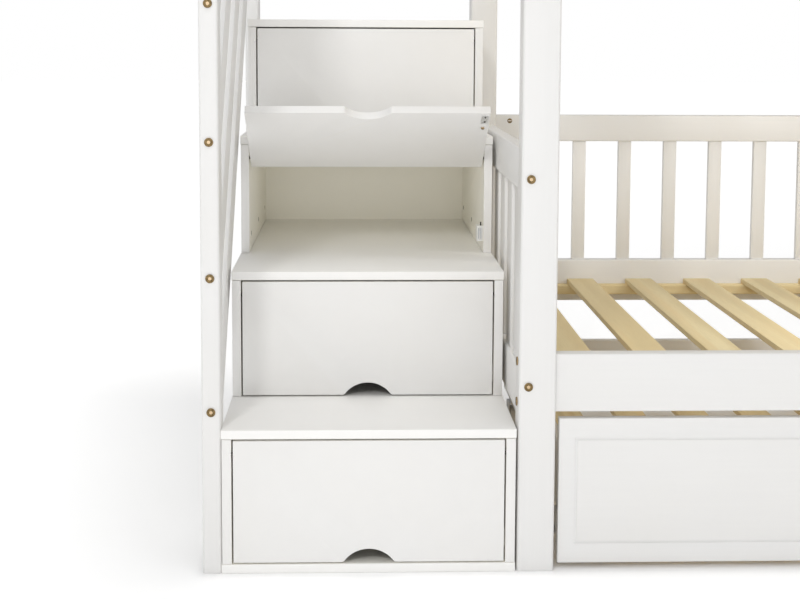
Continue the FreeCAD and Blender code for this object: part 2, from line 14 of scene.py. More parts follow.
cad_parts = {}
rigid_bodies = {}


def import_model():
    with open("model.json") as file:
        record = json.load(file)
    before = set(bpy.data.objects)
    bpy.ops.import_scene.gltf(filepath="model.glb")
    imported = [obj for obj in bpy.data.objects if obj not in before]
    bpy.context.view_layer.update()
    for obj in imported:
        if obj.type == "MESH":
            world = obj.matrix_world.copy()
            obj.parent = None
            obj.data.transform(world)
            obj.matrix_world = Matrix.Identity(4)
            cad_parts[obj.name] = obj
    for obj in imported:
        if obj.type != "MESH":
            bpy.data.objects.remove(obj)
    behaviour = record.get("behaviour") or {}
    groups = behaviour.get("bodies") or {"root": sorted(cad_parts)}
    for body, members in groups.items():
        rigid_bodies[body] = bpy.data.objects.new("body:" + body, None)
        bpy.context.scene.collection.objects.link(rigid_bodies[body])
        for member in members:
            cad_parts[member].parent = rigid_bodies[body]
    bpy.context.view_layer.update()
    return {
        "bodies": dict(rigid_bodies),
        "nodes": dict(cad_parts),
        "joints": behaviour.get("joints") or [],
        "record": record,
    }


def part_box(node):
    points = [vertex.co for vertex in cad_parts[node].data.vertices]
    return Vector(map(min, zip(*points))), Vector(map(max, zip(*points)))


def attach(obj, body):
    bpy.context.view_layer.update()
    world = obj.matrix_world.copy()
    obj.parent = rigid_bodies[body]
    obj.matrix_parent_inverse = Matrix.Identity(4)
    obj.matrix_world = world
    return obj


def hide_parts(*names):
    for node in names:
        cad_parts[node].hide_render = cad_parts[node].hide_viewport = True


LOG = logging.getLogger("bunk_bed")
STEPS = (1, 2, 3, 4)
# How far a face has to look along an axis to count as facing that way.
FACING = 0.9
# How closely an edge has to run along an axis to count as running that way.
RUNNING = 0.99
Color = tuple[float, float, float]


class Grain(Enum):
    """The way that a board's fibres run, as the stretch of its grain pattern."""

    ALONG_X = (1.6, 46.0, 46.0)
    ALONG_Y = (46.0, 1.6, 46.0)
    ALONG_Z = (46.0, 46.0, 1.6)
    NONE = (9.0, 9.0, 9.0)


class Slot(Enum):
    """The record's material slots."""

    WHITE = "white_wood"
    PINE = "pine"
    STEEL = "steel"
    ZINC = "zinc_steel"
    BRONZE = "bronze"
    WHITE_PLASTIC = "white_plastic"
    WHEEL = "wheel_plastic"


def tint(color: Color, *shares: float) -> Color:
    """Change a colour's strength.

    Args:
        color: the colour.
        *shares: what each part is multiplied by, or one number for all three.

    Returns:
        The changed colour.
    """
    if len(shares) == 1:
        shares *= len(color)
    return tuple(part * share for part, share in zip(color, shares))


class Recipe:
    """A material's nodes, laid out one after another round its main shader."""

    def __init__(self, name: str) -> None:
        """Start an empty material.

        Args:
            name: the material's name.
        """
        self.material = bpy.data.materials.new(name)
        self.material.use_nodes = True
        self.tree = self.material.node_tree
        self.shader = self.tree.nodes["Principled BSDF"]

    def add(self, kind: str, inputs: dict | None = None, **settings: object) -> bpy.types.Node:
        """Add a node with its settings and the plain values of its sockets.

        Args:
            kind: the node's type, without the leading ShaderNode.
            inputs: socket names or numbers and their values.
            **settings: the node's own settings.

        Returns:
            The new node.
        """
        node = self.tree.nodes.new("ShaderNode" + kind)
        for key, value in settings.items():
            setattr(node, key, value)
        for key, value in (inputs or {}).items():
            node.inputs[key].default_value = value
        return node

    def join(self, source: bpy.types.NodeSocket, target: bpy.types.NodeSocket) -> None:
        """Lead one socket to another."""
        self.tree.links.new(source, target)

    def place(self, stretch: Sequence[float] = (1, 1, 1),
              turn: Sequence[float] = (0, 0, 0)) -> bpy.types.NodeSocket:
        """Give the piece's own coordinates, turned and then stretched.

        Args:
            stretch: the stretch along each axis.
            turn: the turn about each axis, in radians.

        Returns:
            The coordinates' socket.
        """
        spot = self.add("TexCoord")
        turned = self.add("Mapping", {"Rotation": turn})
        self.join(spot.outputs["Object"], turned.inputs["Vector"])
        scaled = self.add("Mapping", {"Scale": stretch})
        self.join(turned.outputs[0], scaled.inputs["Vector"])
        return scaled.outputs[0]

    def noise(self, where: bpy.types.NodeSocket, scale: float, detail: float = 4,
              rough: float = 0.55, swirl: float = 0.0) -> bpy.types.NodeSocket:
        """Add a noise pattern.

        Args:
            where: the coordinates that it reads.
            scale: how fine it is.
            detail: how many finer layers it has.
            rough: how strong the finer layers are.
            swirl: how far it is distorted.

        Returns:
            The pattern's value, from 0 to 1.
        """
        node = self.add("TexNoise", {"Scale": scale, "Detail": detail, "Roughness": rough,
                                     "Distortion": swirl})
        self.join(where, node.inputs["Vector"])
        return node.outputs["Fac"]

    def ramp(self, value: bpy.types.NodeSocket,
             stops: Iterable[tuple[float, Color]]) -> bpy.types.NodeSocket:
        """Turn a value into colours.

        Args:
            value: the value that is read.
            stops: places from 0 to 1 and their colours.

        Returns:
            The colour's socket.
        """
        node = self.add("ValToRGB")
        stops = list(stops)
        for index, (at, color) in enumerate(stops):
            points = node.color_ramp.elements
            point = points[index] if index < 2 else points.new(at)
            point.position = at
            point.color = (*color, 1)
        self.join(value, node.inputs[0])
        return node.outputs[0]

    def span(self, value: bpy.types.NodeSocket, low: float, high: float, least: float = 0.0,
             most: float = 1.0) -> bpy.types.NodeSocket:
        """Map a value from one range to another.

        Args:
            value: the value that is read.
            low: the value that gives least.
            high: the value that gives most.
            least: the lower end of what comes out.
            most: the upper end of what comes out.

        Returns:
            The mapped value's socket.
        """
        node = self.add("MapRange", {"From Min": low, "From Max": high, "To Min": least,
                                     "To Max": most})
        self.join(value, node.inputs["Value"])
        return node.outputs[0]

    def blend(self, share: bpy.types.NodeSocket, first: bpy.types.NodeSocket | Color,
              second: bpy.types.NodeSocket | Color, kind: str = "MIX") -> bpy.types.NodeSocket:
        """Mix two colours by a share.

        Args:
            share: how much of the second one shows.
            first: the first colour.
            second: the second colour.
            kind: the way that they are mixed.

        Returns:
            The mixed colour's socket.
        """
        node = self.add("Mix", data_type="RGBA", blend_type=kind)
        self.join(share, node.inputs["Factor"])
        for source, target in ((first, node.inputs[6]), (second, node.inputs[7])):
            if isinstance(source, tuple):
                target.default_value = (*source, 1)
            else:
                self.join(source, target)
        return node.outputs[2]

    def bump(self, height: bpy.types.NodeSocket, strength: float, depth: float,
             over: bpy.types.NodeSocket | None = None) -> bpy.types.NodeSocket:
        """Add a relief.

        Args:
            height: the relief's height, from 0 to 1.
            strength: how much of it shows.
            depth: its depth in metres.
            over: a coarser relief that it lies on.

        Returns:
            The normal's socket.
        """
        node = self.add("Bump", {"Strength": strength, "Distance": depth})
        self.join(height, node.inputs["Height"])
        if over is not None:
            self.join(over, node.inputs["Normal"])
        return node.outputs[0]

    def reckon(self, kind: str, operation: str,
               *parts: bpy.types.NodeSocket | Sequence[float]) -> bpy.types.NodeSocket:
        """Reckon with numbers or with vectors.

        Args:
            kind: Math or VectorMath.
            operation: what is done.
            *parts: sockets, or plain vectors, in their order.

        Returns:
            The result's socket.
        """
        node = self.add(kind, operation=operation)
        for target, part in zip(node.inputs, parts):
            if isinstance(part, tuple):
                target.default_value = part
            else:
                self.join(part, target)
        return next(socket for socket in node.outputs if socket.enabled)

    def dress(self, color: bpy.types.NodeSocket, rough: bpy.types.NodeSocket,
              normal: bpy.types.NodeSocket, **values: float) -> bpy.types.Material:
        """Lead the patterns to the main shader and set its plain values.

        Args:
            color: the base colour.
            rough: the roughness.
            normal: the relief.
            **values: the shader's plain values, with _ for a space.

        Returns:
            The finished material.
        """
        self.join(color, self.shader.inputs["Base Color"])
        self.join(rough, self.shader.inputs["Roughness"])
        self.join(normal, self.shader.inputs["Normal"])
        for key, value in values.items():
            self.shader.inputs[key.replace("_", " ")].default_value = value
        return self.material


@dataclass(frozen=True)
class Lacquer:
    """White paint on wood or board, with a faint grain below it and soft wear on its edges,
    painted bounce light on the faces marked for it and painted shade in marked holes.
    """

    name: str
    tone: Color = (0.780, 0.776, 0.768)
    # Painted bounce light: a brighter, warmer white for the faces of the stair compartments.
    painted_bounce_light: Color = (0.945, 0.928, 0.862)
    # The bare board of the shelf-peg holes, darkened to a painted shade.
    raw_board_and_shade: Color = (0.060, 0.048, 0.034)
    grain: Grain = Grain.NONE
    turn: float = 0.0
    relief: float = 0.05
    fibre: tuple[float, ...] = (3.0, 6, 0.6, 0.3)
    cloud: tuple[float, ...] = (5.0, 2)
    film: tuple[float, ...] = (420.0, 2)
    streak: float = 0.985
    dust: Color = (0.985, 0.975, 0.955)
    rub: Color = (0.970, 0.955, 0.920)
    edge: tuple[float, float] = (0.52, 0.62)
    gloss: tuple[float, float] = (0.36, 0.50)
    depth: float = 0.0004
    film_depth: float = 0.0002
    shine: float = 0.42

    def material(self) -> bpy.types.Material:
        """Lay out the paint.

        Returns:
            The material.
        """
        paint = Recipe(self.name)
        fibre = paint.noise(paint.place(self.grain.value, (self.turn, 0, 0)), *self.fibre)
        cloud = paint.noise(paint.place(), *self.cloud)
        film = paint.noise(paint.place(), *self.film)
        color = paint.ramp(fibre, ((0.30, tint(self.tone, self.streak)), (0.62, self.tone)))
        dusty = tint(self.tone, *self.dust)
        color = paint.blend(paint.span(cloud, 0.45, 0.85, 0.0, 0.45), color, dusty)
        # Painted bounce light on the compartments' marked faces.
        inner = paint.add("Attribute", attribute_name="inner_face").outputs["Fac"]
        color = paint.blend(inner, color, self.painted_bounce_light)
        # Painted shade in the shelf-peg holes: the bare board's brown made near black.
        drilled = paint.add("Attribute", attribute_name="drilled_face").outputs["Fac"]
        color = paint.blend(drilled, color, self.raw_board_and_shade)
        sharp = paint.add("NewGeometry").outputs["Pointiness"]
        edge = paint.span(sharp, *self.edge, 0.0, 0.35)
        color = paint.blend(edge, color, tint(self.tone, *self.rub))
        rough = paint.span(fibre, 0.2, 0.8, *self.gloss)
        normal = paint.bump(fibre, self.relief, self.depth)
        normal = paint.bump(film, 0.05, self.film_depth, normal)
        return paint.dress(color, rough, normal, Specular_IOR_Level=self.shine)


@dataclass(frozen=True)
class Pine:
    """Bare planed pine: yearly rings, fine fibre, knots, and a tone of its own for each board."""

    name: str
    pale: Color = (0.800, 0.690, 0.430)
    dark: Color = (0.600, 0.475, 0.250)
    knot: Color = (0.300, 0.170, 0.075)
    rust: Color = (0.96, 0.86, 0.74)
    warmth: Color = (0.93, 0.86, 0.76)
    fleck: float = 0.80
    grain: Grain = Grain.ALONG_Y
    along: float = 0.36
    across: float = 5.2
    gloss: tuple[float, float] = (0.50, 0.68)
    relief: float = 0.25
    depth: float = 0.0003
    shine: float = 0.30

    def material(self) -> bpy.types.Material:
        """Lay out the wood.

        Returns:
            The material.
        """
        wood = Recipe(self.name)
        tone = wood.add("Attribute", attribute_name="board_tone").outputs["Fac"]
        offset = wood.add("CombineXYZ")
        for index in range(3):
            wood.join(wood.span(tone, 0, 1, 0, 7.0 + 3 * index), offset.inputs[index])
        stretch = [self.across if part > 2 else self.along for part in self.grain.value]
        where = wood.reckon("VectorMath", "ADD", wood.place(stretch), offset.outputs[0])
        wander = wood.noise(where, 1.5, 3, 0.5)
        rings = wood.add("TexWave", {"Scale": 2.3, "Distortion": 5.5, "Detail": 3.0,
                                     "Detail Scale": 1.2}, wave_type="RINGS",
                         rings_direction="Y")
        wood.join(where, rings.inputs["Vector"])
        fibre = wood.noise(wood.place([part * 7 for part in self.grain.value]), 1.6, 4, 0.7)
        ring_color = wood.ramp(rings.outputs["Fac"], ((0.05, self.dark), (0.75, self.pale)))
        color = wood.blend(wood.span(wander, 0.3, 0.75, 0.35, 0.85), ring_color, self.pale)
        fleck = tint(self.pale, self.fleck)
        color = wood.blend(wood.span(fibre, 0.50, 0.70, 0.0, 0.6), color, fleck)
        stain = wood.noise(wood.place([part * 0.35 for part in self.grain.value]), 2.0, 3, 0.5)
        ruddy = tint(self.pale, *self.rust)
        color = wood.blend(wood.span(stain, 0.48, 0.70, 0.0, 0.6), color, ruddy)
        knots = wood.add("TexVoronoi", {"Scale": 1.25, "Randomness": 1.0}, feature="F1")
        wood.join(where, knots.inputs["Vector"])
        knot = wood.span(knots.outputs["Distance"], 0.05, 0.14, 0.85, 0.0)
        color = wood.blend(knot, color, self.knot)
        warm = tint(self.pale, *self.warmth)
        color = wood.blend(wood.span(tone, 0, 1, 0.0, 0.55), color, warm)
        rough = wood.span(fibre, 0.2, 0.8, *self.gloss)
        normal = wood.bump(fibre, self.relief, self.depth)
        return wood.dress(color, rough, normal, Specular_IOR_Level=self.shine)


@dataclass(frozen=True)
class Metal:
    """A metal with a brushed or aged surface."""

    name: str
    bright: Color
    dull: Color
    low_rough: float = 0.25
    high_rough: float = 0.45
    fineness: float = 160.0
    worn: Color | None = None
    edge: tuple[float, float] = (0.52, 0.66)
    edge_gain: float = 1.25
    relief: float = 0.12
    depth: float = 0.0001

    def material(self) -> bpy.types.Material:
        """Lay out the metal, with its worn colour where the piece's worn attribute is 1.

        Returns:
            The material.
        """
        metal = Recipe(self.name)
        age = metal.noise(metal.place(), self.fineness, 4, 0.6)
        scratch = metal.noise(metal.place((1, 1, 6)), self.fineness * 4, 2)
        color = metal.ramp(age, ((0.35, self.dull), (0.65, self.bright)))
        sharp = metal.add("NewGeometry").outputs["Pointiness"]
        edge = metal.span(sharp, *self.edge, 0.0, 0.6)
        light = tuple(min(1.0, part * self.edge_gain) for part in self.bright)
        color = metal.blend(edge, color, light)
        if self.worn is not None:
            worn = metal.add("Attribute", attribute_name="worn").outputs["Fac"]
            color = metal.blend(worn, color, self.worn)
        rough = metal.span(age, 0.3, 0.7, self.low_rough, self.high_rough)
        normal = metal.bump(scratch, self.relief, self.depth)
        return metal.dress(color, rough, normal, Metallic=1.0)


@dataclass(frozen=True)
class Plastic:
    """A moulded plastic or rubber with a fine skin."""

    name: str
    tone: Color
    rough: float = 0.4
    skin: float = 900.0
    relief: float = 0.08
    depth: float = 0.0001
    shade: float = 0.93

    def material(self) -> bpy.types.Material:
        """Lay out the plastic.

        Returns:
            The material.
        """
        resin = Recipe(self.name)
        cloud = resin.noise(resin.place(), 30.0, 3)
        skin = resin.noise(resin.place(), self.skin, 2)
        color = resin.ramp(cloud, ((0.35, tint(self.tone, self.shade)), (0.65, self.tone)))
        rough = resin.span(cloud, 0.3, 0.7, self.rough - 0.06, self.rough + 0.08)
        return resin.dress(color, rough, resin.bump(skin, self.relief, self.depth))


class Finishes:
    """The finishes of the bed, each made once and shared."""

    def __init__(self) -> None:
        """Make every material."""
        railing_turn = math.radians(48.5)
        self.along_x = Lacquer("white_paint_lengthwise", grain=Grain.ALONG_X).material()
        self.along_y = Lacquer("white_paint_crosswise", grain=Grain.ALONG_Y).material()
        self.along_z = Lacquer("white_paint_upright", grain=Grain.ALONG_Z).material()
        self.slanted = Lacquer("white_paint_slanted", grain=Grain.ALONG_Y,
                               turn=-railing_turn).material()
        self.smooth = Lacquer("white_smooth_board", (0.812, 0.807, 0.797), relief=0.03).material()
        # The treads and the stairs' floor board get the smooth board's white made brighter:
        # painted light on horizontal boards and compartment floors.
        self.tread = Lacquer("white_tread_board", (0.900, 0.895, 0.880), relief=0.03).material()
        self.slat_pine = Pine("bare_pine_slat").material()
        self.ledger_pine = Pine("bare_pine_ledger", grain=Grain.ALONG_X).material()
        self.bronze = Metal("aged_bronze", (0.270, 0.190, 0.090), (0.100, 0.068, 0.032),
                            0.28, 0.50, 240.0, (0.62, 0.47, 0.30)).material()
        self.steel = Metal("bright_steel", (0.90, 0.91, 0.92), (0.74, 0.75, 0.76)).material()
        self.dark_steel = Metal("blackened_steel", (0.10, 0.095, 0.085), (0.045, 0.042, 0.038),
                                0.35, 0.55).material()
        self.zinc = Metal("zinc_plated_steel", (0.62, 0.63, 0.64), (0.44, 0.45, 0.47),
                          0.30, 0.50, 90.0).material()
        self.white_plastic = Plastic("white_moulded_plastic", (0.86, 0.86, 0.85)).material()
        self.wheel_plastic = Plastic("pale_wheel_plastic", (0.68, 0.68, 0.67), 0.5).material()


class Bench:
    """Modelling steps with Blender's own operators, one selection at a time."""

    @staticmethod
    def take(*pieces: bpy.types.Object) -> None:
        """Select these objects alone and make the first one active.

        Args:
            *pieces: the objects.
        """
        bpy.ops.object.select_all(action="DESELECT")
        for piece in pieces:
            piece.select_set(True)
        bpy.context.view_layer.objects.active = pieces[0]

    @staticmethod
    def settle(piece: bpy.types.Object) -> bpy.types.Object:
        """Put an object's place, turn and scale into its mesh.

        Args:
            piece: the object.

        Returns:
            The same object, at the origin.
        """
        Bench.take(piece)
        bpy.ops.object.transform_apply(location=True, rotation=True, scale=True)
        return piece

    @staticmethod
    def box(name: str, low: Vector, high: Vector) -> bpy.types.Object:
        """Add a box between two corners.

        Args:
            name: the piece's name.
            low: its lowest corner.
            high: its highest corner.

        Returns:
            The new object.
        """
        bpy.ops.object.select_all(action="DESELECT")
        low, high = Vector(low), Vector(high)
        bpy.ops.mesh.primitive_cube_add(size=1, location=(low + high) / 2, scale=high - low)
        bpy.context.object.name = name
        return Bench.settle(bpy.context.object)

    @staticmethod
    def rod(name: str, centre: Vector, radius: float, length: float, axis: Vector,
            sides: int = 32) -> bpy.types.Object:
        """Add a round rod about an axis.

        Args:
            name: the piece's name.
            centre: its middle.
            radius: its radius.
            length: its length.
            axis: the direction that it runs in.
            sides: how many sides it has.

        Returns:
            The new object.
        """
        bpy.ops.object.select_all(action="DESELECT")
        turn = Vector(axis).to_track_quat("Z", "Y").to_euler()
        bpy.ops.mesh.primitive_cylinder_add(vertices=sides, radius=radius, depth=length,
                                            location=centre, rotation=turn)
        bpy.context.object.name = name
        return Bench.settle(bpy.context.object)

    @staticmethod
    def pick_faces(piece: bpy.types.Object, test: Callable[[Vector, Vector], bool]) -> None:
        """In edit mode, select the faces whose centre and normal pass a test.

        Args:
            piece: the object that is being edited.
            test: takes a face's centre and its normal.
        """
        bpy.ops.mesh.select_mode(type="FACE")
        bpy.ops.mesh.select_all(action="DESELECT")
        mesh = bmesh.from_edit_mesh(piece.data)
        for face in mesh.faces:
            face.select_set(bool(test(face.calc_center_median(), face.normal)))
        bmesh.update_edit_mesh(piece.data)

    @staticmethod
    def inset(piece: bpy.types.Object, test: Callable[[Vector, Vector], bool], width: float,
              rise: float) -> bpy.types.Object:
        """Inset the picked faces and raise or sink what lies inside.

        Args:
            piece: the object.
            test: takes a face's centre and its normal.
            width: how far the new edge lies inside the old one.
            rise: how far the inside goes up, or down where it is negative.

        Returns:
            The same object.
        """
        Bench.take(piece)
        bpy.ops.object.mode_set(mode="EDIT")
        Bench.pick_faces(piece, test)
        bpy.ops.mesh.inset(thickness=width, depth=rise)
        bpy.ops.object.mode_set(mode="OBJECT")
        return piece

    @staticmethod
    def mark(piece: bpy.types.Object, test: Callable[[Vector], bool]) -> bpy.types.Object:
        """Mark the points that pass a test as worn bright.

        Args:
            piece: the object.
            test: takes a point's place.

        Returns:
            The same object.
        """
        worn = piece.data.attributes.new("worn", "FLOAT", "POINT")
        for vertex in piece.data.vertices:
            worn.data[vertex.index].value = 1.0 if test(vertex.co) else 0.0
        return piece

    @staticmethod
    def round_edges(piece: bpy.types.Object, width: float, segments: int = 2,
                    angle: float = 30.0) -> bpy.types.Object:
        """Round the edges that are sharper than an angle.

        Args:
            piece: the object.
            width: how wide the rounding is.
            segments: how many faces it has across.
            angle: the angle in degrees.

        Returns:
            The same object.
        """
        Bench.take(piece)
        rounding = piece.modifiers.new("rounding", "BEVEL")
        rounding.width = width
        rounding.segments = segments
        rounding.limit_method = "ANGLE"
        rounding.angle_limit = math.radians(angle)
        bpy.ops.object.modifier_apply(modifier=rounding.name)
        return piece

    @staticmethod
    def round_upright(piece: bpy.types.Object, width: float, axis: Vector) -> bpy.types.Object:
        """Round the edges that run along one axis.

        Args:
            piece: the object.
            width: how wide the rounding is.
            axis: the direction of the edges.

        Returns:
            The same object.
        """
        Bench.take(piece)
        bpy.ops.object.mode_set(mode="EDIT")
        bpy.ops.mesh.select_mode(type="EDGE")
        bpy.ops.mesh.select_all(action="DESELECT")
        mesh = bmesh.from_edit_mesh(piece.data)
        for edge in mesh.edges:
            run = (edge.verts[0].co - edge.verts[1].co).normalized()
            edge.select_set(abs(run.dot(axis)) > RUNNING)
        bmesh.update_edit_mesh(piece.data)
        bpy.ops.mesh.bevel(offset=width, segments=5)
        bpy.ops.object.mode_set(mode="OBJECT")
        return piece

    @staticmethod
    def cut(piece: bpy.types.Object, cutter: bpy.types.Object) -> bpy.types.Object:
        """Cut one object's shape out of another and drop the cutter.

        Args:
            piece: the object that is cut.
            cutter: the object that cuts.

        Returns:
            The cut object.
        """
        Bench.take(piece)
        cutting = piece.modifiers.new("cutting", "BOOLEAN")
        cutting.operation = "DIFFERENCE"
        cutting.object = cutter
        cutting.solver = "EXACT"
        bpy.ops.object.modifier_apply(modifier=cutting.name)
        bpy.data.objects.remove(cutter, do_unlink=True)
        return piece

    @staticmethod
    def join(name: str, pieces: Sequence[bpy.types.Object]) -> bpy.types.Object:
        """Join objects into one.

        Args:
            name: the joined object's name.
            pieces: the objects.

        Returns:
            The joined object.
        """
        Bench.take(*pieces)
        bpy.ops.object.join()
        pieces[0].name = name
        return pieces[0]

    @staticmethod
    def copy(piece: bpy.types.Object, move: Matrix) -> bpy.types.Object:
        """Copy an object with a mesh of its own and put it at a new place.

        Args:
            piece: the object that is copied.
            move: the move of the copy's mesh.

        Returns:
            The copy.
        """
        twin = piece.copy()
        twin.data = piece.data.copy()
        twin.data.transform(move)
        bpy.context.scene.collection.objects.link(twin)
        return twin

    @staticmethod
    def islands(mesh: bpy.types.Mesh) -> list[list[int]]:
        """Find the separate shells of a mesh.

        Args:
            mesh: the mesh, with its doubles merged.

        Returns:
            The vertex numbers of each shell.
        """
        links: list[list[int]] = [[] for _ in mesh.vertices]
        for edge in mesh.edges:
            first, second = edge.vertices
            links[first].append(second)
            links[second].append(first)
        seen = [False] * len(links)
        shells = []
        for start in range(len(links)):
            if seen[start]:
                continue
            seen[start] = True
            shell = [start]
            for vertex in shell:
                for other in links[vertex]:
                    if not seen[other]:
                        seen[other] = True
                        shell.append(other)
            shells.append(shell)
        return shells

    @staticmethod
    def smooth(piece: bpy.types.Object, angle: float = 35.0) -> bpy.types.Object:
        """Shade a piece smooth where its faces meet at less than an angle.

        Args:
            piece: the object.
            angle: the angle in degrees.

        Returns:
            The same object.
        """
        Bench.take(piece)
        bpy.ops.object.shade_smooth_by_angle(angle=math.radians(angle))
        return piece


class Workshop:
    """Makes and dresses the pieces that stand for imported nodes."""

    weld = 0.00002
    flat_angle = 0.5
    tone_step = 12.9898
    tone_scale = 43758.5453

    def __init__(self, frame: dict, finishes: Finishes) -> None:
        """Keep the frame and the finishes.

        Args:
            finishes: the shared finishes.
        """
        self.frame = frame
        self.finishes = finishes
        self.body_of = {node: body for body, nodes in
                        frame["record"]["behaviour"]["bodies"].items() for node in nodes}

    def carried(self, node: str, name: str) -> bpy.types.Object:
        """Copy a node's mesh as a new object, with its doubles merged and flat faces whole.

        Args:
            node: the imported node.
            name: the new object's name.

        Returns:
            The new object.
        """
        copy = bpy.data.objects.new(name, self.frame["nodes"][node].data.copy())
        copy.data.materials.clear()
        bpy.context.scene.collection.objects.link(copy)
        Bench.take(copy)
        bpy.ops.mesh.customdata_custom_splitnormals_clear()
        bpy.ops.object.mode_set(mode="EDIT")
        bpy.ops.mesh.select_all(action="SELECT")
        bpy.ops.mesh.remove_doubles(threshold=self.weld)
        bpy.ops.mesh.dissolve_limited(angle_limit=math.radians(self.flat_angle))
        bpy.ops.object.mode_set(mode="OBJECT")
        return copy

    def dress(self, piece: bpy.types.Object, material: bpy.types.Material, slot: Slot, body: str,
              *nodes: str) -> bpy.types.Object:
        """Give a finished piece its material, its body and the nodes that it stands for.

        Args:
            piece: the finished piece.
            material: its material.
            slot: the record's slot that the finish belongs to; not used.
            body: the body that it rides on.
            *nodes: the nodes that it stands for.

        Returns:
            The same piece.
        """
        piece.data.materials.clear()
        piece.data.materials.append(material)
        self.spread_tone(piece)
        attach(piece, body)
        if nodes:
            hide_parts(*nodes)
        LOG.info("%-28s %6d faces on %s", piece.name, len(piece.data.polygons), body)
        return piece

    def spread_tone(self, piece: bpy.types.Object) -> None:
        """Give each separate board of a piece a tone of its own, the same on every run.

        Args:
            piece: the finished piece.
        """
        mesh = piece.data
        tones = mesh.attributes.new("board_tone", "FLOAT", "POINT")
        for number, shell in enumerate(Bench.islands(mesh)):
            spread = math.sin(self.tone_step * (number + 1) + len(piece.name))
            tone = (spread * self.tone_scale) % 1.0
            for vertex in shell:
                tones.data[vertex].value = tone

    def board(self, node: str, material: bpy.types.Material, slot: Slot = Slot.WHITE,
              width: float = 0.0008, name: str = "") -> bpy.types.Object:
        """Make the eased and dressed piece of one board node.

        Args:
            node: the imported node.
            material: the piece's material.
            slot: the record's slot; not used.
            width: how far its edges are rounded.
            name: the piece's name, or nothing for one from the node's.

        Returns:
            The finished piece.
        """
        piece = self.carried(node, name or node + "_eased")
        Bench.round_edges(piece, width)
        Bench.smooth(piece)
        return self.dress(piece, material, slot, self.body_of[node], node)

    def plain(self, node: str, material: bpy.types.Material) -> None:
        """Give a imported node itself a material.

        Args:
            node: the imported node.
            material: its material.
        """
        mesh = self.frame["nodes"][node].data
        mesh.materials.clear()
        mesh.materials.append(material)
        LOG.info("%-28s dressed as packed", node)

    def shells(self, node: str) -> list[tuple[Vector, Vector]]:
        """Give the corners of each separate solid of a node.

        Args:
            node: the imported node.

        Returns:
            The lowest and the highest corner of each.
        """
        copy = self.carried(node, "measured")
        corners = []
        for shell in Bench.islands(copy.data):
            spots = [copy.data.vertices[index].co for index in shell]
            corners.append((Vector(map(min, zip(*spots))), Vector(map(max, zip(*spots)))))
        bpy.data.objects.remove(copy, do_unlink=True)
        return corners


@dataclass
class StairUnit:
    """The stairs: boards, side panels with their shelf holes, and the back panel."""

    shop: Workshop
    rounding: float = 0.0010
    wall: float = 0.016
    hole_radius: float = 0.0055
    hole_depth: float = 0.009
    hole_height: float = 0.033
    hole_front: float = 0.057
    hole_back: float = 0.038
    overlap: float = 0.0006
    near: float = 0.0002
    seam: float = 0.0007

    def build(self) -> None:
        """Build and dress the stairs."""
        finishes = self.shop.finishes
        # The faces of each compartment, floor, back, ceilings and sides, are marked for painted
        # bounce light.
        floor = self.shop.board("stair_floor_board", finishes.tread, width=self.rounding)
        self.mark(floor, "inner_face", lambda centre, normal: normal.z > FACING)
        back = self.shop.board("stair_back_panel", finishes.smooth, width=self.rounding)
        self.mark(back, "inner_face", lambda centre, normal: normal.y < -FACING)
        for step in STEPS:
            tread = self.shop.board(f"stair_tread_{step}", finishes.tread, width=self.rounding)
            self.mark(tread, "inner_face", lambda centre, normal: normal.z < -FACING)
            self.side_panels(step)

    @staticmethod
    def mark(piece: bpy.types.Object, name: str, test: Callable[[Vector, Vector], bool]) -> None:
        """Mark the faces that pass a test, for the painted bounce light of a compartment or the
        painted shade of a hole.

        Args:
            piece: the finished board.
            name: the mark's name.
            test: takes a face's centre and its normal.
        """
        marks = piece.data.attributes.new(name, "FLOAT", "FACE")
        for face in piece.data.polygons:
            marks.data[face.index].value = 1.0 if test(face.center, face.normal) else 0.0

    def side_panels(self, step: int) -> None:
        """Make the two side panels of a step, drilled with blind holes for shelf pegs.

        Args:
            step: the step's number from below.
        """
        node = f"stair_sides_{step}"
        piece = self.shop.carried(node, node + "_drilled")
        Bench.round_edges(piece, self.rounding)
        low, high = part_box(node)
        level = (low.z + high.z) / 2
        squeeze = Matrix.Scale(1 - 2 * self.seam / (high.z - low.z), 4, (0, 0, 1))
        piece.data.transform(Matrix.Translation((0, 0, level)) @ squeeze
                             @ Matrix.Translation((0, 0, -level)))
        rows = (low.y + self.hole_front, (low.y + self.hole_front + high.y - self.hole_back) / 2,
                high.y - self.hole_back)
        drills = []
        length = self.hole_depth + self.overlap
        for x, way in ((low.x + self.wall, -1), (high.x - self.wall, 1)):
            for y in rows:
                centre = (x + way * self.hole_depth / 2, y, low.z + self.hole_height)
                drills.append(Bench.rod("drill", centre, self.hole_radius, length,
                                        (way, 0, 0), 24))
        Bench.cut(piece, Bench.join("drills", drills))
        Bench.smooth(piece)
        self.shop.dress(piece, self.shop.finishes.smooth, Slot.WHITE, "bed", node)
        middle = (low.x + high.x) / 2
        reach = (high.x - low.x) / 2 - self.wall
        # The faces towards the compartment are marked for painted bounce light.
        self.mark(piece, "inner_face", lambda centre, normal: normal.x * (middle - centre.x) > 0
                  and abs(normal.x) > FACING)
        level = low.z + self.hole_height
        bottom = reach + self.hole_depth + self.overlap
        # The walls of the blind holes are marked for painted shade.
        self.mark(piece, "drilled_face", lambda centre, normal: any(
            math.hypot(centre.y - y, centre.z - level) < self.hole_radius + self.near
            and reach + self.near < abs(centre.x - middle) < bottom for y in rows))


